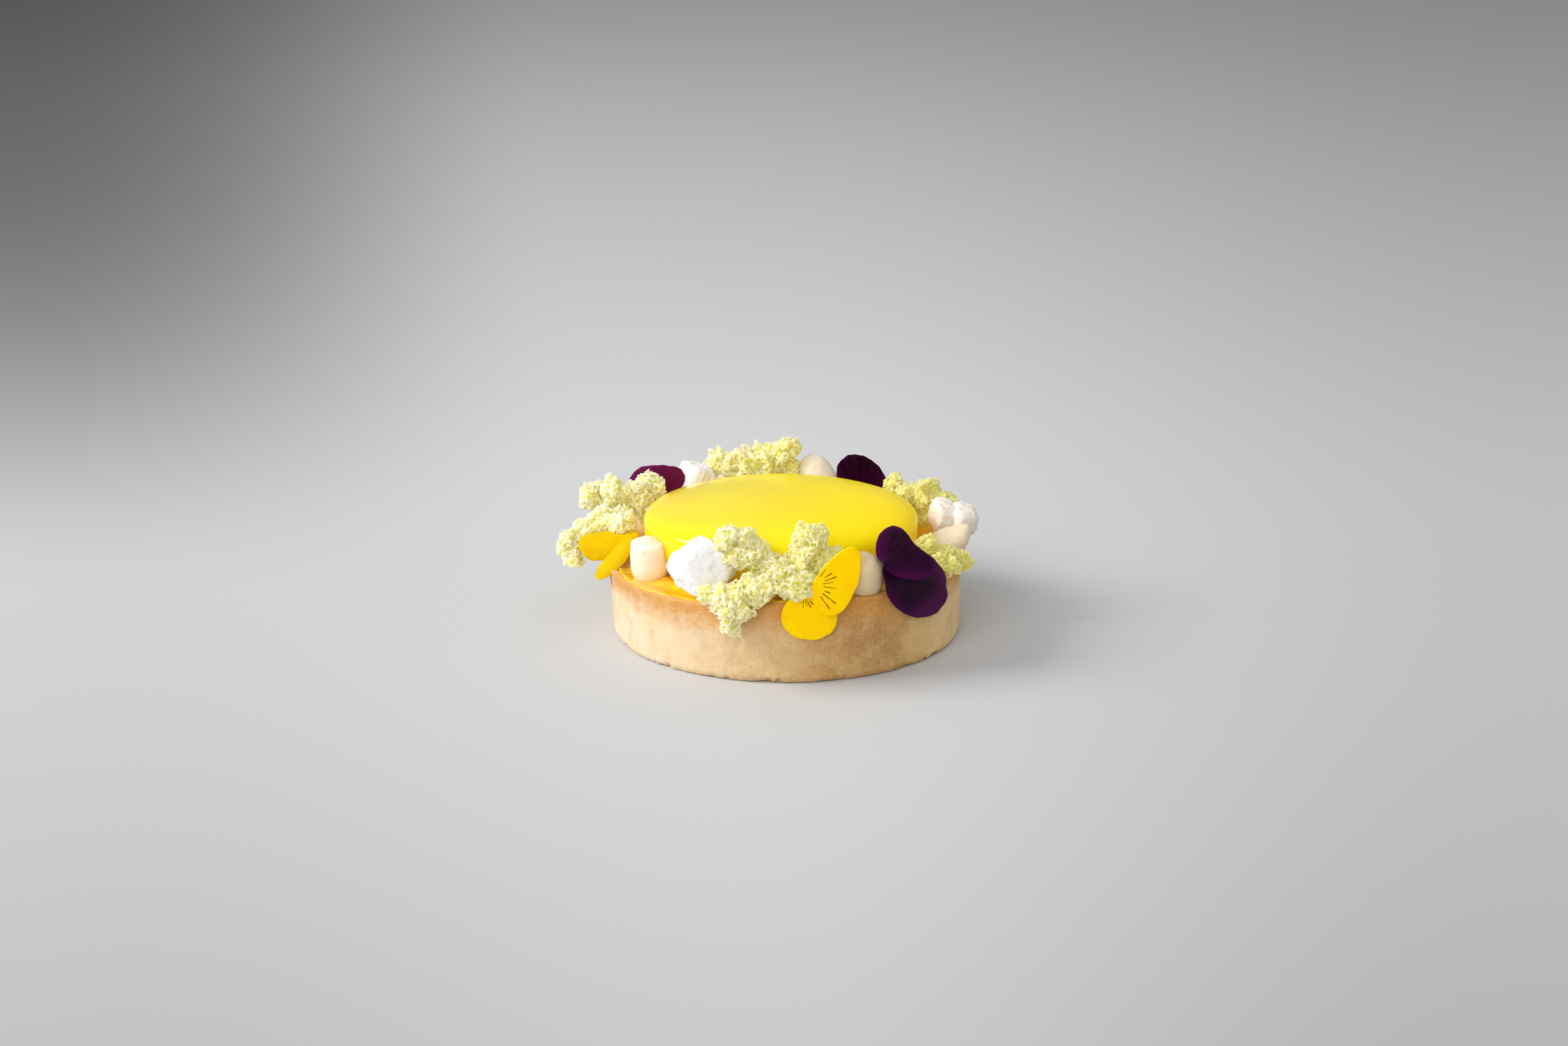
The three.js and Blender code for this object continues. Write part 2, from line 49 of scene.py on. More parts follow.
class Socket:
    """An output socket of a node tree. Its operators add Math or Vector Math nodes."""

    def __init__(self, tree, output):
        self.tree, self.output = tree, output

    def also(self, name):
        """Another output of the same node."""
        return Socket(self.tree, self.output.node.outputs[name])

    def maths(self, operation, *operands):
        vectors = [o for o in operands if isinstance(o, tuple) or _is_vector(o)]
        kind = "ShaderNodeVectorMath" if vectors else "ShaderNodeMath"
        return self.tree.add(kind, {"operation": operation}, list(operands))

    def __add__(self, other):
        return self.maths("ADD", self, other)

    def __sub__(self, other):
        return self.maths("SUBTRACT", self, other)

    def __mul__(self, other):
        return self.maths("MULTIPLY", self, other)

    def __truediv__(self, other):
        return self.maths("DIVIDE", self, other)

    def __lt__(self, other):
        return self.maths("LESS_THAN", self, other)

    def __gt__(self, other):
        return self.maths("GREATER_THAN", self, other)

    def __neg__(self):
        return self.maths("MULTIPLY", self, -1.0)

    def __abs__(self):
        return self.maths("ABSOLUTE", self)

    def __radd__(self, other):
        return self.maths("ADD", other, self)

    def __rsub__(self, other):
        return self.maths("SUBTRACT", other, self)

    def __rtruediv__(self, other):
        return self.maths("DIVIDE", other, self)

    def least(self, other):
        return self.maths("MINIMUM", self, other)

    def most(self, other):
        return self.maths("MAXIMUM", self, other)

    def between(self, low, high):
        """0 below low, 1 above high, smooth between them."""
        settings = {"interpolation_type": "SMOOTHSTEP"}
        return self.tree.add("ShaderNodeMapRange", settings, [self, low, high, 0.0, 1.0])


def _is_vector(value):
    return isinstance(value, Socket) and value.output.type == "VECTOR"


class Tree:
    """A material's or a Geometry Nodes tree, built by adding nodes."""

    def __init__(self, tree):
        self.tree = tree

    def add(self, kind, settings=None, inputs=()):
        """Adds a node, sets its settings, then gives its sockets values or links."""
        node = self.tree.nodes.new(kind)
        for name, value in (settings or {}).items():
            setattr(node, name, value)
        named = inputs.items() if isinstance(inputs, dict) else enumerate(inputs)
        shown = [socket for socket in node.inputs if socket.enabled]
        for key, value in named:
            socket = node.inputs[key] if isinstance(key, str) else shown[key]
            self.give(socket, value)
        first = next((output for output in node.outputs if output.enabled), None)
        return Socket(self, first) if first else node

    def give(self, socket, value):
        """Links a socket's output, or sets a plain value."""
        if isinstance(value, Socket):
            self.tree.links.new(value.output, socket)
        elif socket.type == "VECTOR" and isinstance(value, (int, float)):
            socket.default_value = (value,) * 3
        elif socket.type == "RGBA" and len(value) == 3:
            socket.default_value = (*value, 1.0)
        else:
            socket.default_value = value

    def mix(self, factor, first, second):
        """A colour between two colours."""
        return self.add("ShaderNodeMix", {"data_type": "RGBA"}, [factor, first, second])

    def noise(self, place, scale, detail=2.0, roughness=0.5):
        return self.add(
            "ShaderNodeTexNoise",
            None,
            {"Vector": place, "Scale": scale, "Detail": detail, "Roughness": roughness},
        )

    def cells(self, place, scale, feature="F1"):
        return self.add(
            "ShaderNodeTexVoronoi", {"feature": feature}, {"Vector": place, "Scale": scale}
        )


def colour(red, green, blue):
    """A linear colour from the 0 to 255 values that a screen shows."""
    parts = [c / 255 for c in (red, green, blue)]
    return tuple(c / 12.92 if c <= 0.04045 else ((c + 0.055) / 1.055) ** 2.4 for c in parts)


class Finish(Tree):
    """A material with one Principled shader. Its place is in millimetres from the middle of the
    tart's underside, and so are across (+X), back (+Y) and height (+Z)."""

    def __init__(self, name, **constants):
        self.material = bpy.data.materials.new(name)
        self.material.use_nodes = True
        super().__init__(self.material.node_tree)
        self.shader = self.tree.nodes["Principled BSDF"]
        for socket, value in constants.items():
            self.shader.inputs[socket.replace("_", " ")].default_value = value
        coordinates = self.add("ShaderNodeTexCoord")
        self.place = coordinates.also("Object") * TO_MM
        self.uv = coordinates.also("UV")
        parts = self.add("ShaderNodeSeparateXYZ", None, [self.place])
        self.across, self.back, self.height = (parts.also(axis) for axis in "XYZ")

    def set(self, socket, value):
        self.give(self.shader.inputs[socket], value)

    def bump(self, height, strength, distance_mm):
        normal = self.add(
            "ShaderNodeBump",
            None,
            {"Strength": strength, "Distance": distance_mm * MM, "Height": height},
        )
        self.set("Normal", normal)


# Sizes.

# Pastry case, and how many steps go round it.
CASE_RADIUS = 40.0
CASE_WALL = 2.8
CASE_INSIDE = CASE_RADIUS - CASE_WALL
CASE_FLOOR = 3.0
CASE_SEGMENTS = 900

# The case's rounded foot, worn and chipped.
FOOT_ROUND = 1.2
FOOT_EDGE = 0.25
FOOT_TOP = 1.0
FOOT_WEAR = 0.2
CHIP_DEPTH = 1.6
CHIP_SIZE = 1.5
CHIP_PATCH = 7
CHIP_LIFT = 0.8
CHIP_LIFT_SIZE = 3.1

# The seam where the strip of pastry overlaps, at the left, in degrees from the front.
SEAM_AT = -82
SEAM_WIDTH = 2.6
SEAM_RISE = 0.55
GROOVE_AT = -75.5
GROOVE_WIDTH = 2.4
GROOVE_DEPTH = 0.75

# The rim: a little higher at the right, dipped at the left, with a lip at both sides.
RIM_HEIGHT = 17.7
RIM_TILT = 1.7
RIM_TILT_TURN = 0.14
RIM_WAVE = 0.2
RIM_DIP = 1.2
RIM_DIP_AT = -1.62
RIM_DIP_WIDTH = 0.25
RIM_FROM = 32.0
RIM_ROUND = 0.6
RIM_EDGE = 0.5
RIM_TOP = 1.2
RIM_SINK = 0.15
RIM_BEVEL = 1.4
LIP_FLARE_RIGHT = 1.1
LIP_FLARE_LEFT = 0.4
LIP_FROM = 0.7

# Where the relief of the outside, the top, the seam, the foot and the chips fades in or out.
OUTSIDE_FADE = CASE_RADIUS - 2, CASE_RADIUS - 0.6
TOP_FADE = RIM_HEIGHT - 2.5, RIM_HEIGHT - 1
SEAM_FADE = 2, 14
FOOT_FADE = 0.3, 1.6
CHIP_FADE = -0.1, 0.35

# Curd: level under the disc, and lapping over the rim most at the left front.
CURD_LEVEL = 16.75
CURD_GAP = 0.15
CURD_UNDER = 0.3
CURD_LAP = 1.3
CURD_LIP = 0.12
CURD_LIP_FOOT = 0.2
CURD_LIP_ROUND = 0.05
CURD_OVER_BEVEL = 0.05
CURD_ABOVE_RIM = 0.22
CURD_SHOULDER = 0.6
CURD_SLOPE = 2.0
CURD_SEGMENTS = 540
SPREAD_AT = -50
SPREAD_WIDTH = 26
SPREAD_LEAST = 0.3
SPREAD_MOST = 0.9
SPREAD_WANDER = 0.25

# Glazed disc.
DISC_RADIUS = 31.4
DISC_FOOT_RADIUS = 27.0
DISC_WIDEST_AT = 25.5
DISC_CROWN = 5.7
DISC_OFFSET_X = -1.3
DISC_ROUNDNESS = 2.5
DISC_SINK = 0.1
DISC_SINK_FADE = 0, 8
DISC_SIDE_STEPS = 30
DISC_CROWN_STEPS = 64
DISC_SEGMENTS = 384

# Cream dots, as shares of a dot's own height and width.
DOT_WIDEST_AT = 0.35
DOT_ROUNDNESS = 0.8
DOT_FOOT_TUCK = 0.25
DOT_TIP_FROM = 0.75
DOT_LEAN_POWER = 2.5
DOT_STEPS = 44
DOT_SEGMENTS = 96

# Petals: rings of points round a heart. The square is what one petal's UV covers.
PETAL_RINGS = 22
PETAL_SIDES = 120
PETAL_THICKNESS = 0.32
PETAL_THINNING = 0.55
PETAL_HEART = 0.55
PETAL_WAVER = 0.006
PETAL_FINE_WAVER = 0.004
PETAL_SLOPE_STEP = 0.05
NOTCH_WIDTH = 0.3
PETAL_SQUARE = 20.0

# Relief, in layers of smooth noise: depth, size of its lumps, seed. A dot's seed is its x.
PASTRY_RELIEF = (0.22, 9, 0), (0.12, 3, 5), (0.07, 1.2, 9)
RIM_RELIEF = (0.25, 2.2, 21), (0.12, 0.9, 22)
CURD_RELIEF = (0.16, 2.6, 4), (0.08, 1.1, 6)
DISC_RELIEF = ((0.12, 17, 3),)
DOT_RELIEF = (0.2, 3.4), (0.05, 1.1)


def smooth(low, high, value):
    """0 below low, 1 above high, smooth between them."""
    share = np.clip((value - low) / (high - low), 0, 1)
    return share * share * (3 - 2 * share)


def hump(value, middle, width):
    """1 at the middle, fading to 0 either side of it."""
    return np.exp(-(((value - middle) / width) ** 2))


def rim_height(azimuth):
    """The rim's height round the case: tilted, wavy, and dipped at the left."""
    tilt = RIM_TILT * np.sin(azimuth + RIM_TILT_TURN)
    wave = np.sin(3 * azimuth + 1) + 0.6 * np.sin(7 * azimuth + 2)
    dip = RIM_DIP * hump(azimuth, RIM_DIP_AT, RIM_DIP_WIDTH)
    return RIM_HEIGHT + tilt + RIM_WAVE * wave - dip


def rough(points, size, seed=0.0):
    """Smooth noise from -1 to 1 at each point of an array, with lumps of that size."""
    shift = Vector((seed, seed * 1.7, -seed))
    flat = points.reshape(-1, 3) / size
    values = [noise.noise(Vector(p) + shift) for p in flat]
    return np.array(values).reshape(points.shape[:-1])


def relief(points, layers):
    """The sum of several layers of smooth noise."""
    return sum(depth * rough(points, size, seed) for depth, size, seed in layers)


# Meshes.


def mesh_piece(name, points, faces, material, uv=None):
    """A smooth-shaded mesh object from points in millimetres."""
    mesh = bpy.data.meshes.new(name)
    mesh.from_pydata((np.asarray(points) * MM).tolist(), [], faces)
    mesh.polygons.foreach_set("use_smooth", [True] * len(mesh.polygons))
    if uv is not None:
        layer = mesh.uv_layers.new(name="petal")
        corner = np.array([loop.vertex_index for loop in mesh.loops])
        layer.data.foreach_set("uv", np.asarray(uv)[corner].ravel())
    mesh.materials.append(material)
    mesh.update()
    piece = bpy.data.objects.new(name, mesh)
    bpy.context.scene.collection.objects.link(piece)
    return piece


def turned(outline, segments):
    """Points of an outline turned about +Z, an array of rings by segments by 3, and its faces.
    The outline's first and last points lie on the axis."""
    outline = np.asarray(outline, float)
    azimuth = np.arange(segments) * 2 * math.pi / segments
    around = np.stack([np.sin(azimuth), -np.cos(azimuth)], 1)
    rings = np.concatenate(
        [
            outline[1:-1, None, :1] * around[None],
            np.broadcast_to(outline[1:-1, None, 1:], (len(outline) - 2, segments, 1)),
        ],
        2,
    )
    count = len(outline) - 2
    low, high = count * segments, count * segments + 1
    faces = []
    for ring in range(count - 1):
        for i in range(segments):
            j = (i + 1) % segments
            a, b = ring * segments, (ring + 1) * segments
            faces.append((a + i, a + j, b + j, b + i))
    for i in range(segments):
        j = (i + 1) % segments
        faces.append((low, j, i))
        faces.append((high, (count - 1) * segments + i, (count - 1) * segments + j))
    return rings, faces, outline[0, 1], outline[-1, 1]


def closed(rings, bottom, top, shift=(0, 0)):
    """All points of a turned shape: its rings, then its two ends on the axis."""
    ends = [[shift[0], shift[1], bottom], [shift[0], shift[1], top]]
    return np.concatenate([rings.reshape(-1, 3), np.array(ends, float)])


def steps(start, end, count):
    """Points along a straight stretch of an outline, without its last one."""
    share = np.arange(count)[:, None] / count
    return (1 - share) * np.array(start, float) + share * np.array(end, float)


def straight_outline(corners):
    """An outline through corners (radius, height), each with the steps to the next one."""
    pairs = zip(corners, corners[1:])
    stretches = [steps(start[:2], end[:2], start[2]) for start, end in pairs]
    return np.concatenate([*stretches, [corners[-1][:2]]])


def polar(rings):
    """Each point's distance from the axis, and its azimuth from the front towards +X."""
    radius = np.hypot(rings[..., 0], rings[..., 1])
    return radius, np.arctan2(rings[..., 0], -rings[..., 1])


def push_out(rings, distance):
    """Moves each point away from the axis by its distance."""
    radius, _ = polar(rings)
    rings[..., :2] *= (1 + distance / np.maximum(radius, 1))[..., None]


# Pastry case, curd and disc.


def follow_rim(rings):
    """Lifts everything near the wall to the rim's height."""
    radius, azimuth = polar(rings)
    share = smooth(RIM_FROM, CASE_INSIDE, radius)
    rings[..., 2] *= 1 + share * (rim_height(azimuth) / RIM_HEIGHT - 1)


def flare(rings):
    """Pushes the outer wall out where the rim has a lip, at the left and right."""
    radius, azimuth = polar(rings)
    lip = np.where(azimuth > 0, LIP_FLARE_RIGHT, LIP_FLARE_LEFT) * np.sin(azimuth) ** 2
    lip *= smooth(LIP_FROM, 1, rings[..., 2] / RIM_HEIGHT)
    push_out(rings, smooth(CASE_INSIDE, CASE_RADIUS, radius) * lip)


def crumbly(rings):
    """Uneven pastry: slow waves, grain, a ragged foot and the seam where the strip overlaps."""
    radius, azimuth = polar(rings)
    degrees, height = np.degrees(azimuth), rings[..., 2].copy()
    outer = smooth(*OUTSIDE_FADE, radius)
    top = smooth(*TOP_FADE, height)
    upper = smooth(*SEAM_FADE, height)
    swell = relief(rings, PASTRY_RELIEF)
    swell += upper * SEAM_RISE * hump(degrees, SEAM_AT, SEAM_WIDTH)
    swell -= upper * GROOVE_DEPTH * hump(degrees, GROOVE_AT, GROOVE_WIDTH)
    foot = 1 - smooth(*FOOT_FADE, height)
    flat = rings * [1, 1, 0]
    chipped = smooth(*CHIP_FADE, rough(flat, CHIP_PATCH, 31))
    chips = np.maximum(rough(flat, CHIP_SIZE, 13), 0) * chipped
    swell -= foot * outer * (FOOT_WEAR + CHIP_DEPTH * chips)
    push_out(rings, outer * swell)
    rings[..., 2] += top * relief(rings, RIM_RELIEF)
    lift = np.maximum(rough(rings * [1, 1, 0], CHIP_LIFT_SIZE, 17), 0)
    lifted = foot * outer * chipped * lift
    rings[..., 2] = np.maximum(rings[..., 2] + CHIP_LIFT * lifted, 0)


def pastry_case(material):
    """A straight wall on a flat base, with a rounded foot and a bevelled rim."""
    outline = straight_outline(
        [
            (0, 0, 6),
            (CASE_RADIUS - FOOT_ROUND, 0, 4),
            (CASE_RADIUS - FOOT_EDGE, FOOT_EDGE, 3),
            (CASE_RADIUS, FOOT_TOP, 54),
            (CASE_RADIUS, RIM_HEIGHT - RIM_ROUND, 4),
            (CASE_RADIUS - RIM_EDGE, RIM_HEIGHT, 3),
            (CASE_RADIUS - RIM_TOP, RIM_HEIGHT - RIM_SINK, 5),
            (CASE_INSIDE, RIM_HEIGHT - RIM_BEVEL, 6),
            (CASE_INSIDE, CASE_FLOOR, 4),
            (0, CASE_FLOOR),
        ]
    )
    rings, faces, bottom, top = turned(outline, CASE_SEGMENTS)
    for shape in (flare, follow_rim, crumbly):
        shape(rings)
    return mesh_piece("shortcrust_case", closed(rings, bottom, top), faces, material)


def curd_overflow(azimuth):
    """How far the curd spreads over the rim: widest at the left front."""
    spread = hump(np.degrees(azimuth), SPREAD_AT, SPREAD_WIDTH)
    wander = 0.5 + 0.3 * np.sin(5 * azimuth + 0.7) + 0.2 * np.sin(11 * azimuth)
    wide = SPREAD_MOST * spread * (0.6 + 0.6 * wander)
    return SPREAD_LEAST + wide + SPREAD_WANDER * wander


def lemon_curd(material):
    """Curd that fills the case, laps over its rim and lies level under the disc."""
    edge, over = CASE_INSIDE - CURD_GAP, CASE_RADIUS - CURD_LAP
    outline = straight_outline(
        [
            (0, CASE_FLOOR + CURD_UNDER, 4),
            (edge, CASE_FLOOR + CURD_UNDER, 8),
            (edge, RIM_HEIGHT - RIM_BEVEL + CURD_OVER_BEVEL, 5),
            (over, RIM_HEIGHT - CURD_LIP_FOOT, 3),
            (over - CURD_LIP_ROUND, RIM_HEIGHT + CURD_LIP, 4),
            (over - CURD_SHOULDER, RIM_HEIGHT + CURD_ABOVE_RIM, 8),
            (edge - CURD_SLOPE, (RIM_HEIGHT + CURD_LEVEL) / 2, 10),
            (RIM_FROM - 1, CURD_LEVEL, 6),
            (0, CURD_LEVEL),
        ]
    )
    rings, faces, bottom, top = turned(outline, CURD_SEGMENTS)
    follow_rim(rings)
    radius, azimuth = polar(rings)
    upper = smooth(RIM_HEIGHT - 3, RIM_HEIGHT - 1, rings[..., 2])
    push_out(rings, upper * smooth(edge - 0.6, over, radius) * curd_overflow(azimuth))
    shown = upper * smooth(DISC_FOOT_RADIUS, RIM_FROM + 1, radius)
    rings[..., 2] += shown * relief(rings, CURD_RELIEF)
    return mesh_piece("lemon_curd_fill", closed(rings, bottom, top), faces, material)


def glazed_disc(material):
    """A disc whose side and crown are arcs of a rounded square, sagging a little."""
    power = 2 / DISC_ROUNDNESS
    turns = np.linspace(0, math.pi / 2, DISC_SIDE_STEPS)
    out = DISC_FOOT_RADIUS + (DISC_RADIUS - DISC_FOOT_RADIUS) * np.sin(turns) ** power
    down = DISC_WIDEST_AT - (DISC_WIDEST_AT - CURD_LEVEL) * np.cos(turns).clip(0) ** power
    turns = np.linspace(0, math.pi / 2, DISC_CROWN_STEPS)[1:]
    inward = DISC_RADIUS * np.cos(turns).clip(0) ** power
    up = DISC_WIDEST_AT + DISC_CROWN * np.sin(turns) ** power
    outline = np.concatenate(
        [
            [[0, CURD_LEVEL]],
            np.stack([out, down], 1),
            np.stack([inward, up], 1)[:-1],
            [[0, DISC_WIDEST_AT + DISC_CROWN]],
        ]
    )
    rings, faces, bottom, top = turned(outline, DISC_SEGMENTS)
    inner = smooth(*DISC_SINK_FADE, polar(rings)[0])
    above = smooth(CURD_LEVEL, CURD_LEVEL + 2, rings[..., 2])
    rings[..., 2] -= inner * above * (DISC_SINK + relief(rings, DISC_RELIEF))
    rings[..., 0] += DISC_OFFSET_X
    points = closed(rings, bottom, top, (DISC_OFFSET_X, 0))
    return mesh_piece("glazed_lemon_disc", points, faces, material)


# Cream dots.

# name: (x, y, foot), radius, height, shoulder, tip, (lean x, lean y)
CREAM_DOTS = {
    "cream_dot_left": ((-30.5, -15, 15.8), 4.35, 10.5, 4.2, -0.9, (-0.1, 0.3)),
    "cream_dot_left_back": ((-36, 7.2, 16), 3.4, 7.4, 1.8, 0.2, (0, 0)),
    "cream_dot_front": ((16.4, -33.2, 18.9), 4.8, 8.6, 1.7, 0.2, (0.2, 0)),
    "cream_dot_right": ((35.8, -2.2, 17.8), 5.2, 6.2, 1.6, 0.4, (4.4, 1.2)),
    "cream_dot_back": ((7.3, 38, 18), 5.6, 11.4, 2.1, 1.8, (-0.4, 0)),
    "cream_dot_back_left": ((-16.4, 33.6, 17), 4.2, 9.2, 1.5, 0.8, (0.4, 0.3)),
}


def cream_dot(name, material):
    """A piped dot: a dome on a narrower foot, drawn up to a tip and leaning."""
    at, radius, height, shoulder, tip, lean = CREAM_DOTS[name]
    rise = np.linspace(0, 1, DOT_STEPS)
    above = np.clip((rise - DOT_WIDEST_AT) / (1 - DOT_WIDEST_AT), 0, 1)
    below = np.clip((DOT_WIDEST_AT - rise) / DOT_WIDEST_AT, 0, 1)
    dome = np.cos(math.pi / 2 * above**shoulder).clip(0) ** DOT_ROUNDNESS
    width = radius * dome * (1 - DOT_FOOT_TUCK * below**2)
    climb = height * rise + tip * smooth(DOT_TIP_FROM, 1, rise)
    outline = np.concatenate([[[0, 0]], np.stack([width, climb], 1)[:-1], [[0, climb[-1]]]])
    rings, faces, bottom, top = turned(outline, DOT_SEGMENTS)
    share = (rings[..., 2] / height).clip(0) ** DOT_LEAN_POWER
    rings[..., :2] += share[..., None] * lean
    wave = relief(rings, [(*layer, at[0]) for layer in DOT_RELIEF])
    rings *= (1 + wave / radius)[..., None]
    points = closed(rings, bottom, top)
    points[-1, :2] += lean
    return mesh_piece(name + "_piped", points + np.array(at), faces, material)


# Petals.

# name: claw, along, facing, (length, width, skew, taper, notch), (bend, roll, ripple, seed)
PETALS = {
    "petal_yellow_front_upper": (
        (5.4, -42, 22.9), (0.99, 0.15, 0.06), (0.14, -0.98, 0.15),
        (10.1, 18.4, -0.37, 0.5, 0), (-0.15, -0.2, 0.12, 1),
    ),
    "petal_yellow_front_lower": (
        (3.6, -41.1, 20.9), (0.2, 0.01, -0.98), (0.02, -1, 0),
        (10.9, 13, -0.1, 0.2, 0), (-0.08, -0.15, 0.12, 2),
    ),
    "petal_yellow_left_upper": (
        (-34, 1.4, 21.3), (-1, -0.12, -0.07), (-0.1, -0.45, 0.89),
        (14, 13.6, -0.1, 0.5, 0), (-0.1, -1.2, 0.12, 3),
    ),
    "petal_yellow_left_lower": (
        (-35.2, -2.6, 21.8), (-0.68, -0.37, -0.64), (-0.55, -0.62, 0.56),
        (12.6, 5.8, 0, 0.05, 0), (-0.15, -0.6, 0.1, 4),
    ),
    "petal_purple_front_upper": (
        (20.8, -37.1, 25.3), (0.66, 0.68, 0.31), (0.26, -0.6, 0.75),
        (14.4, 16.8, -0.06, 0.3, 0.24), (-0.2, -0.4, 0.3, 5),
    ),
    "petal_purple_front_lower": (
        (20.6, -36.75, 23.2), (0.76, 0.61, -0.34), (0.65, -0.74, 0.18),
        (23.2, 14, 0.22, -0.1, 0.03), (-0.22, -0.22, 0.2, 6),
    ),
    "petal_purple_back": (
        (18.7, 35, 19.9), (-0.03, 0.05, 1), (0, -1, 0.05),
        (11.7, 11.2, -0.32, -0.25, 0), (0.2, -0.3, 0.25, 7),
    ),
    "petal_purple_back_left": (
        (-32.6, 27.8, 20.9), (0.22, 0, 0.97), (0.05, -1, 0.02),
        (11, 14.6, 0.2, 0.2, 0.05), (0.15, -0.3, 0.3, 8),
    ),
}


def petal_curve(shape, curl, x, y):
    """The middle surface of a petal over its flat outline, in across, along and facing."""
    length, width = shape[:2]
    bend, roll, ripple, seed = curl
    side, reach = x / (width / 2), y / length
    edge = np.hypot(side, 2 * (reach - PETAL_HEART))
    turn = np.arctan2(side, reach - PETAL_HEART)
    wave = np.sin(3 * turn + seed) + 0.6 * np.sin(5 * turn + 2 * seed)
    fine = np.sin(11 * turn + 3 * seed) * edge**6 * 0.1
    lift = width / 2 * (1 - np.cos(roll * side)) / roll + length * (1 - np.cos(bend * reach)) / bend
    return np.stack(
        [
            width / 2 * np.sin(roll * side) / roll,
            length * np.sin(bend * reach) / bend,
            lift + ripple * (edge**3 * wave + fine),
        ],
        -1,
    )


def petal_outline(shape, seed, share):
    """A petal's flat form, across and along: its rings from the inmost out, then its heart."""
    length, width, skew, taper, notch = shape
    turn = (np.arange(PETAL_SIDES) / PETAL_SIDES * 2 * math.pi)[None]
    reach = (1 + np.cos(turn)) / 2
    dip = notch * hump(np.sin(turn / 2), 0, NOTCH_WIDTH)
    outer_x = width / 2 * np.sin(turn) * (1 - taper * (1 - reach))
    outer_y = length * (reach - dip) + skew * outer_x
    waver = 1 + PETAL_WAVER * np.sin(9 * turn + seed) + PETAL_FINE_WAVER * np.sin(17 * turn)
    heart = length * PETAL_HEART
    x = np.append(share * outer_x * waver, 0)
    y = np.append(heart + share * (outer_y * waver - heart), heart)
    return x, y


def petal_faces():
    """The faces of a petal's two sides and of the edge between them."""
    count = PETAL_RINGS * PETAL_SIDES + 1
    last = (PETAL_RINGS - 1) * PETAL_SIDES
    faces = []
    for i in range(PETAL_SIDES):
        j = (i + 1) % PETAL_SIDES
        faces += [(count - 1, j, i), (2 * count - 1, count + i, count + j)]
        faces.append((last + i, last + j, count + last + j, count + last + i))
        for ring in range(PETAL_RINGS - 1):
            a, b = ring * PETAL_SIDES, (ring + 1) * PETAL_SIDES
            faces.append((a + i, a + j, b + j, b + i))
            faces.append((count + a + j, count + a + i, count + b + i, count + b + j))
    return faces


def petal_directions(along, facing):
    """A petal's across, along and facing as three directions at right angles."""
    along = np.array(along) / np.linalg.norm(along)
    across = np.cross(along, facing)
    across /= np.linalg.norm(across)
    return np.stack([across, along, np.cross(across, along)])


def viola_petal(name, material):
    """A thin wavy petal with two faces, thinner at its edge. Its UV is its flat outline."""
    claw, along, facing, shape, curl = PETALS[name]
    share = (np.arange(1, PETAL_RINGS + 1) / PETAL_RINGS)[:, None]
    x, y = petal_outline(shape, curl[3], share)
    middle = petal_curve(shape, curl, x, y)
    step = PETAL_SLOPE_STEP
    across_step = petal_curve(shape, curl, x + step, y) - petal_curve(shape, curl, x - step, y)
    along_step = petal_curve(shape, curl, x, y + step) - petal_curve(shape, curl, x, y - step)
    normal = np.cross(across_step, along_step)
    normal /= np.linalg.norm(normal, axis=1)[:, None]
    thin = np.append(np.repeat(1 - PETAL_THINNING * share**6, PETAL_SIDES, 1), 1)
    half = normal * (thin[:, None] * PETAL_THICKNESS / 2)
    points = np.concatenate([middle + half, middle - half])
    points = points @ petal_directions(along, facing) + np.array(claw)
    uv = np.tile(np.stack([x / PETAL_SQUARE + 0.5, y / PETAL_SQUARE], 1), (2, 1))
    return mesh_piece(name + "_velvet", points, petal_faces(), material, uv)


# Torn sponge and meringue. Voxel is in metres, the other sizes in millimetres.

CRUMB_SIZES = (
    "Voxel", "Crag Depth", "Crag Size", "Burr Depth", "Burr Size",
    "Cell Size", "Wall", "Fin Reach", "Core Depth", "Seed",
)
FINE_CELLS = 2.2
BOX_MARGIN = 6.0
SCRAP_POINTS = 1200.0


def crumb_group():
    """An empty Geometry Nodes tree with the crumb's named inputs."""
    group = bpy.data.node_groups.new("torn_crumb", "GeometryNodeTree")
    face = group.interface
    face.new_socket("Geometry", in_out="INPUT", socket_type="NodeSocketGeometry")
    for name in CRUMB_SIZES:
        face.new_socket(name, in_out="INPUT", socket_type="NodeSocketFloat")
    face.new_socket("Material", in_out="INPUT", socket_type="NodeSocketMaterial")
    face.new_socket("Geometry", in_out="OUTPUT", socket_type="NodeSocketGeometry")
    return group


def height_over(tree, solid, place):
    """How far a place is outside a solid, in millimetres, and below 0 inside it."""
    normal = tree.add("GeometryNodeInputNormal")
    near = tree.add("GeometryNodeProximity", {"target_element": "FACES"}, [solid])
    facing = tree.add(
        "GeometryNodeSampleNearestSurface", {"data_type": "FLOAT_VECTOR"}, [solid, normal]
    )
    away = tree.add("ShaderNodeVectorMath", {"operation": "DOT_PRODUCT"}, [place - near, facing])
    side = away.also("Value")
    return near.also("Distance") * side.maths("SIGN", side) * TO_MM


def craggy_height(tree, given, spot, height):
    """The height over a craggy surface with small burrs instead of the smooth one."""
    crag = tree.noise(spot / given.also("Crag Size"), 1.0, 2.0, 0.6) - 0.5
    burr = abs(tree.noise(spot / given.also("Burr Size") + 40.0, 1.0, 1.0, 0.5) - 0.5)
    outer = height + crag * 2.0 * given.also("Crag Depth")
    return outer + (burr - 0.1) * 4.0 * given.also("Burr Depth")


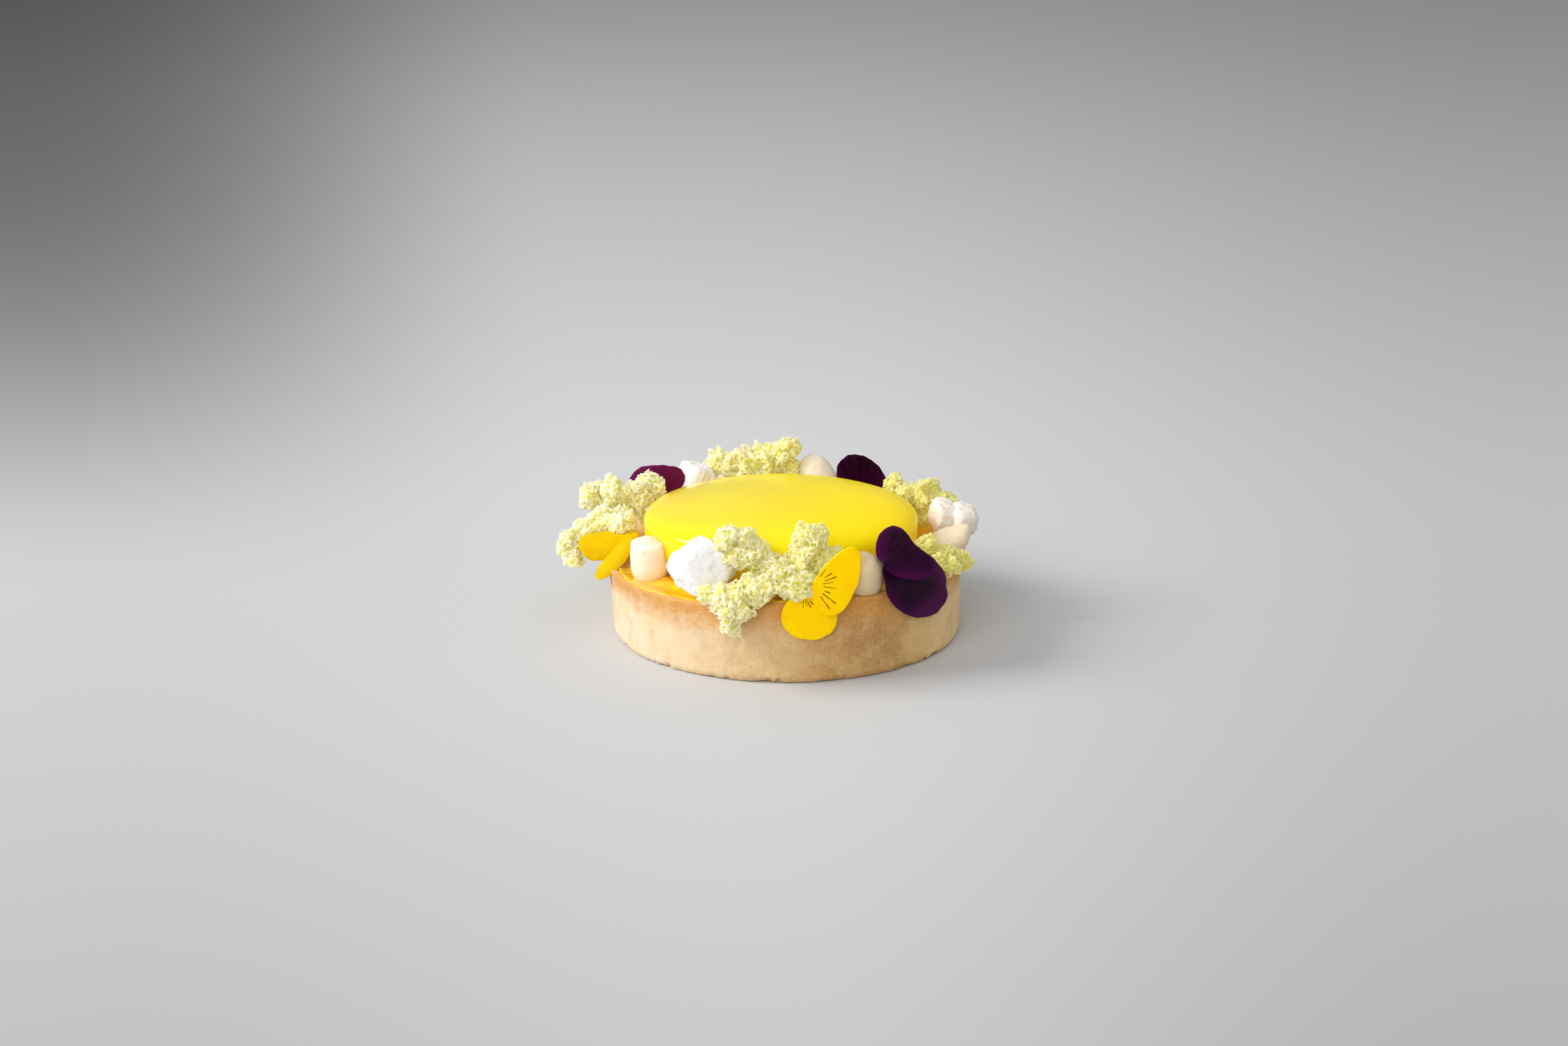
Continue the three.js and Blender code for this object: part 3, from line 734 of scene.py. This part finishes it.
def torn_height(tree, given, spot, outer):
    """The height over a core with the broken walls of large and fine bubbles on it."""
    cell_size, wall, reach = given.also("Cell Size"), given.also("Wall"), given.also("Fin Reach")
    stir = tree.noise(spot / cell_size, 0.7, 1.0).also("Color") * cell_size * 0.9
    stirred = (spot + stir) / cell_size
    gaps = tree.noise(spot / cell_size, 0.9, 2.0) - 0.47
    large = tree.cells(stirred, 1.0, "DISTANCE_TO_EDGE") * cell_size
    large_fins = (large - wall * (0.55 + gaps * 3.2)).most(outer - reach)
    fine = tree.cells(stirred, FINE_CELLS, "DISTANCE_TO_EDGE") * cell_size / FINE_CELLS
    fine_fins = (fine - wall * (0.35 + gaps * 2.0)).most(outer + reach * 0.4)
    core = outer + given.also("Core Depth")
    return large_fins.least(fine_fins).least(core)


def skin_where_zero(tree, solid, voxel, height):
    """A mesh where the height is 0, made through a volume round the solid, without scraps."""
    density = (0.5 - height / (voxel * 2.0 * TO_MM)).most(0.0).least(1.0)
    box = tree.add("GeometryNodeBoundBox", None, [solid])
    low = box.also("Min") - voxel * BOX_MARGIN
    high = box.also("Max") + voxel * BOX_MARGIN
    size = tree.add("ShaderNodeSeparateXYZ", None, [(high - low) / voxel])
    volume = tree.add(
        "GeometryNodeVolumeCube",
        None,
        [density, 0.0, low, high, size.also("X"), size.also("Y"), size.also("Z")],
    )
    skin = tree.add("GeometryNodeVolumeToMesh", {"resolution_mode": "GRID"}, [volume, 0.5, 0.0])
    island = tree.add("GeometryNodeInputMeshIsland")
    members = tree.add("GeometryNodeAccumulateField", {"domain": "POINT"}, [1.0, island])
    scrap = members.also("Total") < SCRAP_POINTS
    return tree.add("GeometryNodeDeleteGeometry", {"domain": "POINT"}, [skin, scrap])


def torn_crumb_tree():
    """Geometry Nodes that turn a solid into torn, open-pored crumb of the same form. How deep a
    point lies in a pit is kept with it."""
    group = crumb_group()
    tree = Tree(group)
    given = tree.add("NodeGroupInput")
    solid, voxel = given.also("Geometry"), given.also("Voxel")
    place = tree.add("GeometryNodeInputPosition")
    spot = place * TO_MM + given.also("Seed")
    outer = craggy_height(tree, given, spot, height_over(tree, solid, place))
    whole = skin_where_zero(tree, solid, voxel, torn_height(tree, given, spot, outer))
    pit = (-outer).between(-0.5, 0.7)
    marked = tree.add(
        "GeometryNodeStoreNamedAttribute",
        {"data_type": "FLOAT", "domain": "POINT"},
        {"Geometry": whole, "Name": "pit", "Value": pit},
    )
    shaded = tree.add("GeometryNodeSetShadeSmooth", None, [marked])
    real = tree.add("GeometryNodeRealizeInstances", None, [shaded])
    finished = tree.add(
        "GeometryNodeSetMaterial", None, {"Geometry": real, "Material": given.also("Material")}
    )
    tree.add("NodeGroupOutput", None, [finished])
    return group


def torn_crumb(node, name, group, material, sizes):
    """The solid of a node remade as torn crumb, a plain mesh at the origin."""
    work = bmesh.new()
    work.from_mesh(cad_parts[node].data)
    bmesh.ops.remove_doubles(work, verts=work.verts, dist=1e-6)
    merged = bpy.data.meshes.new(name + "_solid")
    work.to_mesh(merged)
    work.free()
    merged.transform(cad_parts[node].matrix_world)
    merged.polygons.foreach_set("use_smooth", [True] * len(merged.polygons))
    holder = bpy.data.objects.new(name, merged)
    bpy.context.scene.collection.objects.link(holder)
    modifier = holder.modifiers.new("torn", "NODES")
    modifier.node_group = group
    values = {**sizes, "Material": material}
    for item in group.interface.items_tree:
        if item.in_out == "INPUT" and item.name in values:
            modifier[item.identifier] = values[item.name]
    graph = bpy.context.evaluated_depsgraph_get()
    graph.update()
    mesh = bpy.data.meshes.new_from_object(holder.evaluated_get(graph))
    holder.modifiers.remove(modifier)
    holder.data = mesh
    bpy.data.meshes.remove(merged)
    mesh.name = name
    return holder


# Finishes.


def shortcrust():
    """Golden baked shortcrust: finely grained and pitted, browner right of the middle, and flushed
    along the rim. Painted light makes it paler at the lit left and at the far right."""
    skin = Finish(
        "baked_shortcrust",
        Roughness=0.75,
        Subsurface_Weight=0.1,
        Subsurface_Scale=0.001,
        Subsurface_Radius=(1.0, 0.6, 0.3),
    )
    place, across = skin.place, skin.across
    # Painted light: paler at the lit left, deepening to brown towards the right.
    right = across.between(-38.0, 22.0)
    base = skin.mix(right, colour(230, 209, 183), colour(187, 139, 50))
    brown = across.between(2.0, 16.0) * (1.0 - across.between(18.0, 32.0))
    base = skin.mix(brown, base, colour(170, 122, 64))
    # Painted light: paler again at the far right.
    base = skin.mix(across.between(22.0, 38.0), base, colour(244, 210, 160))
    mottle = skin.noise(place, 0.16, 3.0, 0.6).between(0.38, 0.66)
    base = skin.mix(mottle * 0.35, base, colour(238, 204, 138))
    patch = skin.noise(place + (31.0, 0.0, 0.0), 0.22, 3.0, 0.6).between(0.45, 0.7)
    base = skin.mix(patch * 0.35, base, colour(200, 150, 92))
    ragged = skin.noise(place, 0.3, 3.0, 0.6)
    flush = (skin.height + ragged * 9.0 - right * 2.0).between(12.5, 20.5)
    base = skin.mix(flush * 0.9, base, colour(204, 134, 34))
    fine = skin.noise(place, 2.2, 4.0, 0.75).between(0.35, 0.7)
    base = skin.mix(fine * 0.3, base, colour(243, 213, 152))
    freckle = skin.cells(place, 0.9)
    few = skin.noise(place, 0.5, 2.0).between(0.42, 0.6)
    base = skin.mix((1.0 - freckle.between(0.07, 0.17)) * few * 0.7, base, colour(142, 92, 52))
    skin.set("Base Color", base)
    grain = skin.noise(place, 3.0, 5.0, 0.75) + skin.noise(place, 0.8, 3.0, 0.6) * 0.8
    pinholes = skin.cells(place, 1.3).between(0.06, 0.22)
    pinholes = pinholes + skin.cells(place, 2.9).between(0.1, 0.3) * 0.5
    skin.bump(grain + pinholes * 0.5, 0.8, 0.2)
    return skin.material


def curd_finish():
    """Wet orange-yellow curd."""
    skin = Finish(
        "lemon_curd_gloss",
        Roughness=0.16,
        Subsurface_Weight=0.35,
        Subsurface_Scale=0.003,
        Subsurface_Radius=(1.0, 0.7, 0.1),
        Coat_Weight=0.5,
        Coat_Roughness=0.06,
    )
    tone = skin.noise(skin.place, 0.35, 3.0, 0.6).between(0.3, 0.7)
    skin.set("Base Color", skin.mix(tone, colour(246, 176, 14), colour(252, 200, 40)))
    skin.bump(skin.noise(skin.place, 0.5, 2.0), 0.25, 0.5)
    return skin.material


def glaze_finish():
    """Lemon glaze: a clear coat at the left, a warmer yellow there that is painted shade, and a
    painted glow at the right that stands in for light soaking through."""
    skin = Finish(
        "lemon_mirror_glaze",
        Roughness=0.26,
        Specular_IOR_Level=0.06,
        Subsurface_Weight=0.8,
        Subsurface_Scale=0.012,
        Subsurface_Radius=(1.0, 0.8, 0.1),
        Coat_Roughness=0.15,
        Emission_Strength=0.11,
    )
    across = skin.across
    skin.set("Coat Weight", 0.65 - across.between(-22.0, 16.0) * 0.65)
    # Painted glow at the right: an emission that stands in for light soaking through.
    through = across.between(6.0, 28.0)
    skin.set("Emission Color", skin.mix(through, (0.0, 0.0, 0.0), (1.0, 0.35, 0.0)))
    tone = skin.noise(skin.place, 0.05, 2.0).between(0.3, 0.7)
    base = skin.mix(tone, colour(255, 218, 0), colour(255, 224, 8))
    # Painted shade: a deeper, warmer yellow at the brightly lit left.
    base = skin.mix((-across).between(16.0, 34.0) * 0.6, base, colour(255, 200, 16))
    skin.set("Base Color", base)
    skin.bump(skin.noise(skin.place, 0.09, 1.0), 0.12, 0.5)
    return skin.material


def specks(skin, scale, share):
    """Vanilla seeds: a few small dark dots."""
    spot = skin.cells(skin.place, scale)
    pick = skin.add("ShaderNodeSeparateColor", None, [spot.also("Color")])
    return (1.0 - spot.between(0.08, 0.13)) * (pick < share)


def cream_finish():
    """Satin whipped cream with a few vanilla seeds. The dot between the front petals has a painted
    shadow, and the one at the right a warmer painted shade."""
    skin = Finish(
        "vanilla_cream",
        Roughness=0.42,
        Subsurface_Weight=0.3,
        Subsurface_Scale=0.0025,
        Subsurface_Radius=(1.0, 0.9, 0.75),
    )
    across = skin.across
    tone = skin.noise(skin.place, 0.3, 2.0).between(0.3, 0.7)
    base = skin.mix(tone, colour(240, 226, 202), colour(244, 232, 212))
    # Painted shadow of the front petals on the dot between them.
    shaded = across.between(9.0, 11.0) * (1.0 - across.between(24.0, 26.0))
    shaded = shaded * (-skin.back).between(26.0, 28.0)
    base = skin.mix(shaded * 0.8, base, colour(200, 174, 126))
    # Painted shade, warmer, on the dot at the right.
    base = skin.mix(across.between(28.0, 34.0) * 0.7, base, colour(226, 204, 168))
    base = skin.mix(specks(skin, 0.85, 0.4) * 0.8, base, colour(92, 72, 44))
    skin.set("Base Color", base)
    skin.bump(skin.noise(skin.place, 1.6, 2.0), 0.25, 0.12)
    return skin.material


def meringue_finish():
    """Dry white meringue, chalky where it was torn, and creamier at the right from painted shade.
    """
    skin = Finish(
        "torn_meringue",
        Roughness=0.85,
        Subsurface_Weight=0.2,
        Subsurface_Scale=0.002,
        Subsurface_Radius=(1.0, 0.96, 0.92),
    )
    tone = skin.noise(skin.place, 0.5, 3.0).between(0.3, 0.7)
    base = skin.mix(tone, colour(252, 250, 252), colour(248, 245, 245))
    # Painted shade: creamier and darker at the right.
    base = skin.mix(skin.across.between(25.0, 34.0) * 0.7, base, colour(226, 217, 198))
    skin.set("Base Color", base)
    skin.bump(skin.noise(skin.place, 2.2, 4.0, 0.7), 0.5, 0.2)
    return skin.material


def sponge_finish():
    """Pale lime sponge with a few dark seeds. Painted light and shade make it whiter at the lit
    left, deeper towards the right and yellower in its pits and pores. The faint glow stands for
    the light that its thin walls let through."""
    skin = Finish(
        "airy_lime_sponge",
        Roughness=0.8,
        Subsurface_Weight=1.0,
        Subsurface_Scale=0.003,
        Subsurface_Radius=(1.0, 1.0, 0.45),
        Emission_Color=(0.9, 0.84, 0.1, 1.0),
        Emission_Strength=0.1,
    )
    pit = skin.add("ShaderNodeAttribute", {"attribute_name": "pit"}).also("Fac")
    tone = skin.noise(skin.place, 0.4, 3.0, 0.6).between(0.3, 0.7)
    # Painted light and shade: whiter at the lit left, deeper at the shaded right.
    left = skin.mix(tone, colour(234, 229, 204), colour(229, 223, 180))
    right = skin.mix(tone, colour(206, 198, 138), colour(200, 192, 116))
    ridge = skin.mix(skin.across.between(-30.0, 38.0), left, right)
    # Painted shade: yellower and darker deep in the pits.
    base = skin.mix(pit.between(0.1, 0.9), ridge, colour(213, 205, 98))
    pores = skin.cells(skin.place, 1.1)
    # Painted shade in the small pores, which the bump also dents.
    base = skin.mix((1.0 - pores.between(0.15, 0.45)) * 0.3, base, colour(208, 200, 84))
    base = skin.mix(specks(skin, 0.5, 0.14) * 0.85, base, colour(62, 54, 34))
    skin.set("Base Color", base)
    grain = skin.noise(skin.place, 2.4, 3.0, 0.65)
    skin.bump(grain + pores.between(0.1, 0.5) * 0.4, 0.3, 0.15)
    return skin.material


# Whiskers, in millimetres from the claw: a shortest one, and how much longer others may be.
WHISKERS_PER_RADIAN = 4.0
WHISKER_START, WHISKER_START_SPREAD = 2.0, 0.9
WHISKER_END, WHISKER_END_SPREAD = 4.4, 2.4
WHISKER_FORK, WHISKER_FORK_SPREAD = 1.6, 0.08
WHISKER_WIDTH, WHISKER_TAPER = 0.055, 0.014


def petal_spot(skin):
    """Across and along from a petal's claw, in millimetres."""
    parts = skin.add("ShaderNodeSeparateXYZ", None, [skin.uv])
    return (parts.also("X") - 0.5) * PETAL_SQUARE, parts.also("Y") * PETAL_SQUARE


def petal_veins(skin, across, along, lines):
    """Fine ribs that fan out from the claw."""
    angle = across.maths("ARCTAN2", across, along + 1.5)
    return (angle * lines).maths("SINE", angle * lines)


def yellow_petal(name, dull, bright, glow=0.0, whisker_reach=0.0, fan=(0.0, 0.0)):
    """Velvety clear yellow, with dark whiskers where their reach isn't 0. The fan is their
    first and last angle from the petal's length, in radians. The glow stands for light from
    behind that shines through the petal."""
    skin = Finish(
        name,
        Roughness=0.65,
        Specular_IOR_Level=0.05,
        Subsurface_Weight=0.5,
        Subsurface_Scale=0.0006,
        Subsurface_Radius=(1.0, 0.8, 0.05),
        Emission_Color=(1.0, 0.62, 0.0, 1.0),
        Emission_Strength=glow,
    )
    across, along = petal_spot(skin)
    tone = skin.noise(skin.place, 0.25, 2.0).between(0.3, 0.7)
    base = skin.mix(tone, colour(*dull), colour(*bright))
    veins = petal_veins(skin, across, along, 46.0)
    base = skin.mix(veins.between(0.2, 1.0) * 0.14, base, colour(250, 190, 0))
    if whisker_reach:
        lines = whiskers(skin, across, along, whisker_reach, fan)
        base = skin.mix(lines, base, colour(62, 20, 12))
    skin.set("Base Color", base)
    skin.bump(veins * 0.4 + skin.noise(skin.place, 1.2, 2.0), 0.3, 0.12)
    return skin.material


def whiskers(skin, across, along, reach, fan):
    """Dark hairlines that fan out from the claw, forked at their ends, each its own length."""
    square = across * across + along * along
    radius = square.maths("SQRT", square)
    angle = across.maths("ARCTAN2", across, along)
    turn = angle * WHISKERS_PER_RADIAN + 0.5
    cell = turn.maths("FLOOR", turn)
    draw = skin.add("ShaderNodeTexWhiteNoise", {"noise_dimensions": "1D"}, [cell + 0.3])
    other = skin.add("ShaderNodeTexWhiteNoise", {"noise_dimensions": "1D"}, [cell + 7.7])
    middle = abs(turn - cell - 0.32 - other * 0.36)
    end = (draw * WHISKER_END_SPREAD + WHISKER_END) * reach
    start = (other * WHISKER_START_SPREAD + WHISKER_START) * reach
    fork = (radius - end + WHISKER_FORK).most(0.0) * WHISKER_FORK_SPREAD * (other > 0.5)
    away = abs(middle - fork) * radius / WHISKERS_PER_RADIAN
    width = (end - radius).most(0.0) * WHISKER_TAPER + WHISKER_WIDTH
    line = 1.0 - away.between(width * 0.6, width * 1.6)
    along_it = radius.between(start, start + 0.4) * (1.0 - radius.between(end - 0.3, end))
    fanned = (angle > fan[0]) * (angle < fan[1])
    return line * along_it * fanned


def purple_petal():
    """Velvety dark purple, lighter on its ribs, with a painted sheen that makes it redder and
    lighter towards its edges, and painted light on the petal at the left."""
    skin = Finish(
        "purple_petal",
        Roughness=0.4,
        Specular_IOR_Level=0.08,
        Specular_Tint=(0.75, 0.45, 1.0, 1.0),
        Subsurface_Weight=0.1,
        Subsurface_Scale=0.001,
        Subsurface_Radius=(1.0, 0.2, 0.9),
    )
    across, along = petal_spot(skin)
    tone = skin.noise(skin.place, 0.22, 3.0, 0.6).between(0.35, 0.7)
    base = skin.mix(tone, colour(26, 3, 20), colour(38, 4, 32))
    # Painted sheen: redder and lighter towards the edges.
    edge = (abs(across) * 0.13 + abs(along - 9.0) * 0.08).between(0.55, 1.3)
    base = skin.mix(edge * 0.7, base, colour(80, 8, 74))
    veins = petal_veins(skin, across, along, 34.0)
    base = skin.mix(veins.between(0.0, 1.0) * 0.15, base, colour(70, 12, 60))
    # Painted light: the petal at the left, lit from behind, is lighter and redder.
    left = (-skin.across).between(10.0, 20.0)
    base = skin.mix(left * 0.8, base, colour(112, 30, 84))
    skin.set("Base Color", base)
    skin.bump(veins * 0.5 + skin.noise(skin.place, 1.0, 2.0), 0.35, 0.16)
    return skin.material


# The tart.

FINISHES = {
    "pastry": shortcrust(),
    "curd": curd_finish(),
    "glaze": glaze_finish(),
    "cream": cream_finish(),
    "meringue": meringue_finish(),
    "sponge": sponge_finish(),
    # Painted shade: the left petals' yellow is darker than the front ones'.
    "petal_yellow": yellow_petal("yellow_petal", (214, 176, 0), (220, 186, 0)),
    "petal_purple": purple_petal(),
}
# The front petals' own bright yellow, and a 0.1 glow that is painted light.
FRONT_YELLOWS = (252, 200, 0), (254, 210, 0), 0.1
OWN_FINISHES = {
    "petal_yellow_front_upper": yellow_petal(
        "yellow_petal_long_whiskers", *FRONT_YELLOWS, 1.0, (-1.12, 1.12)
    ),
    "petal_yellow_front_lower": yellow_petal(
        "yellow_petal_short_whiskers", *FRONT_YELLOWS, 0.66, (-0.62, 0.38)
    ),
    # Painted shade: the lower left petal is the darkest yellow.
    "petal_yellow_left_lower": yellow_petal("yellow_petal_shaded", (202, 168, 0), (208, 176, 0)),
}


def settle(piece, node):
    """Puts a finished piece on the tart in place of its node."""
    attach(piece, "root")
    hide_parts(node)


settle(pastry_case(FINISHES["pastry"]), "pastry_case")
settle(lemon_curd(FINISHES["curd"]), "lemon_curd")
settle(glazed_disc(FINISHES["glaze"]), "glazed_disc")
for dot in CREAM_DOTS:
    settle(cream_dot(dot, FINISHES["cream"]), dot)
for petal in PETALS:
    tint = "petal_purple" if "purple" in petal else "petal_yellow"
    settle(viola_petal(petal, OWN_FINISHES.get(petal, FINISHES[tint])), petal)

CRUMB_TREE = torn_crumb_tree()
SEED_STEP = 7.3
TORN = {
    "sponge": {
        "Voxel": 0.00021,
        "Crag Depth": 1.7,
        "Crag Size": 3.6,
        "Burr Depth": 0.75,
        "Burr Size": 1.5,
        "Cell Size": 1.15,
        "Wall": 0.17,
        "Fin Reach": 0.4,
        "Core Depth": 0.35,
    },
    "meringue": {
        "Voxel": 0.00028,
        "Crag Depth": 0.4,
        "Crag Size": 2.2,
        "Burr Depth": 0.1,
        "Burr Size": 0.9,
        "Cell Size": 1.3,
        "Wall": 0.45,
        "Fin Reach": 0.05,
        "Core Depth": 0.2,
    },
}
for number, node in enumerate(sorted(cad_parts)):
    kind = node.split("_")[0]
    if kind in TORN:
        sizes = {**TORN[kind], "Seed": SEED_STEP * number}
        settle(torn_crumb(node, node + "_torn", CRUMB_TREE, FINISHES[kind], sizes), node)


# Floor, light and camera.

# The camera's place, and how far it looks down, in radians.
EYE = (-0.583, -480.0, 163.9)
EYE_TILT = 0.2828

# The point that the table's painted light fans out from, and how much it fades each way.
FADE_FROM = 480.0
FADE_DEPTH = 163.9
TABLE_FAR = 0.238
TABLE_NEAR = 0.276
TABLE_RIGHT = 0.197
TABLE_LEFT = 0.135
TABLE_CORNER = 1.31


def table_top():
    """A pale grey table with a painted pool of light round the tart and painted shade, darkest at
    the far left. Its painted light fades along lines that fan out from a point in front of the
    tart: ahead falls with the distance from it, and beside is how far a line turns to the side."""
    bpy.ops.mesh.primitive_plane_add(size=12, location=(0, 0, 0))
    floor = bpy.context.object
    floor.name = "table_top"
    skin = Finish("pale_table", Roughness=0.8, Specular_IOR_Level=0.25)
    away = (skin.back + FADE_FROM).most(100.0)
    ahead, beside = FADE_DEPTH / away, skin.across / away
    fall = (1.0 - ahead.between(0.05, 0.3)) * TABLE_FAR
    fall = fall + ahead.between(0.25, 0.7) * TABLE_NEAR
    fall = fall + beside.between(0.0, 0.36) * TABLE_RIGHT
    fall = fall + (-beside).between(0.0, 0.36) * TABLE_LEFT
    corner = (-beside).between(0.1, 0.36) * (1.0 - ahead.between(0.1, 0.33))
    fall = fall + corner * TABLE_CORNER
    light = (-fall).maths("EXPONENT", -fall)
    skin.set("Base Color", skin.mix(light, (0.0, 0.0, 0.0), colour(204, 205, 207)))
    floor.data.materials.append(skin.material)


def area_light(name, size, power, at, towards, tint=(1, 1, 1)):
    """A square lamp that faces a place. Its size and places are in metres, its power in
    watts."""
    lamp = bpy.data.lights.new(name, "AREA")
    lamp.shape = "SQUARE"
    lamp.size = size
    lamp.energy = power
    lamp.color = tint
    holder = bpy.data.objects.new(name, lamp)
    holder.location = at
    holder.rotation_euler = (Vector(towards) - Vector(at)).to_track_quat("-Z", "Y").to_euler()
    bpy.context.scene.collection.objects.link(holder)


def soft_sky():
    """A pale surround, a little brighter overhead."""
    world = bpy.data.worlds.new("studio")
    world.use_nodes = True
    sky = Tree(world.node_tree)
    height = sky.add("ShaderNodeSeparateXYZ", None, [sky.add("ShaderNodeTexCoord")]).also("Z")
    background = world.node_tree.nodes["Background"]
    shade = sky.mix(height.between(-0.1, 0.9), (0.5, 0.5, 0.5), (1.0, 0.99, 0.975))
    sky.give(background.inputs["Color"], shade)
    background.inputs["Strength"].default_value = 0.6
    bpy.context.scene.world = world


def studio():
    """The main light is a window at the left; a weak warm one lifts the right side."""
    table_top()
    area_light("window_left", 1.1, 44, (-1.9, -0.2, 1.26), (0, 0, 0.01), (1.0, 0.985, 0.96))
    area_light("front_soft", 1.4, 24, (-0.7, -1.9, 1.0), (0, 0, 0.02))
    area_light("right_bounce", 1.2, 2.2, (1.7, -0.7, 0.6), (0, 0, 0.02), (1.0, 0.92, 0.78))
    soft_sky()
    bpy.context.scene.view_settings.view_transform = "Standard"


def photo_camera():
    """The camera that sees the tart as the photo does."""
    camera = bpy.data.cameras.new("camera")
    camera.lens, camera.sensor_width = 50, 36
    camera.clip_start, camera.clip_end = 0.01, 30
    holder = bpy.data.objects.new("camera", camera)
    holder.location = [c * MM for c in EYE]
    holder.rotation_euler = (math.pi / 2 - EYE_TILT, 0, 0)
    bpy.context.scene.collection.objects.link(holder)
    bpy.context.scene.camera = holder


studio()
photo_camera()
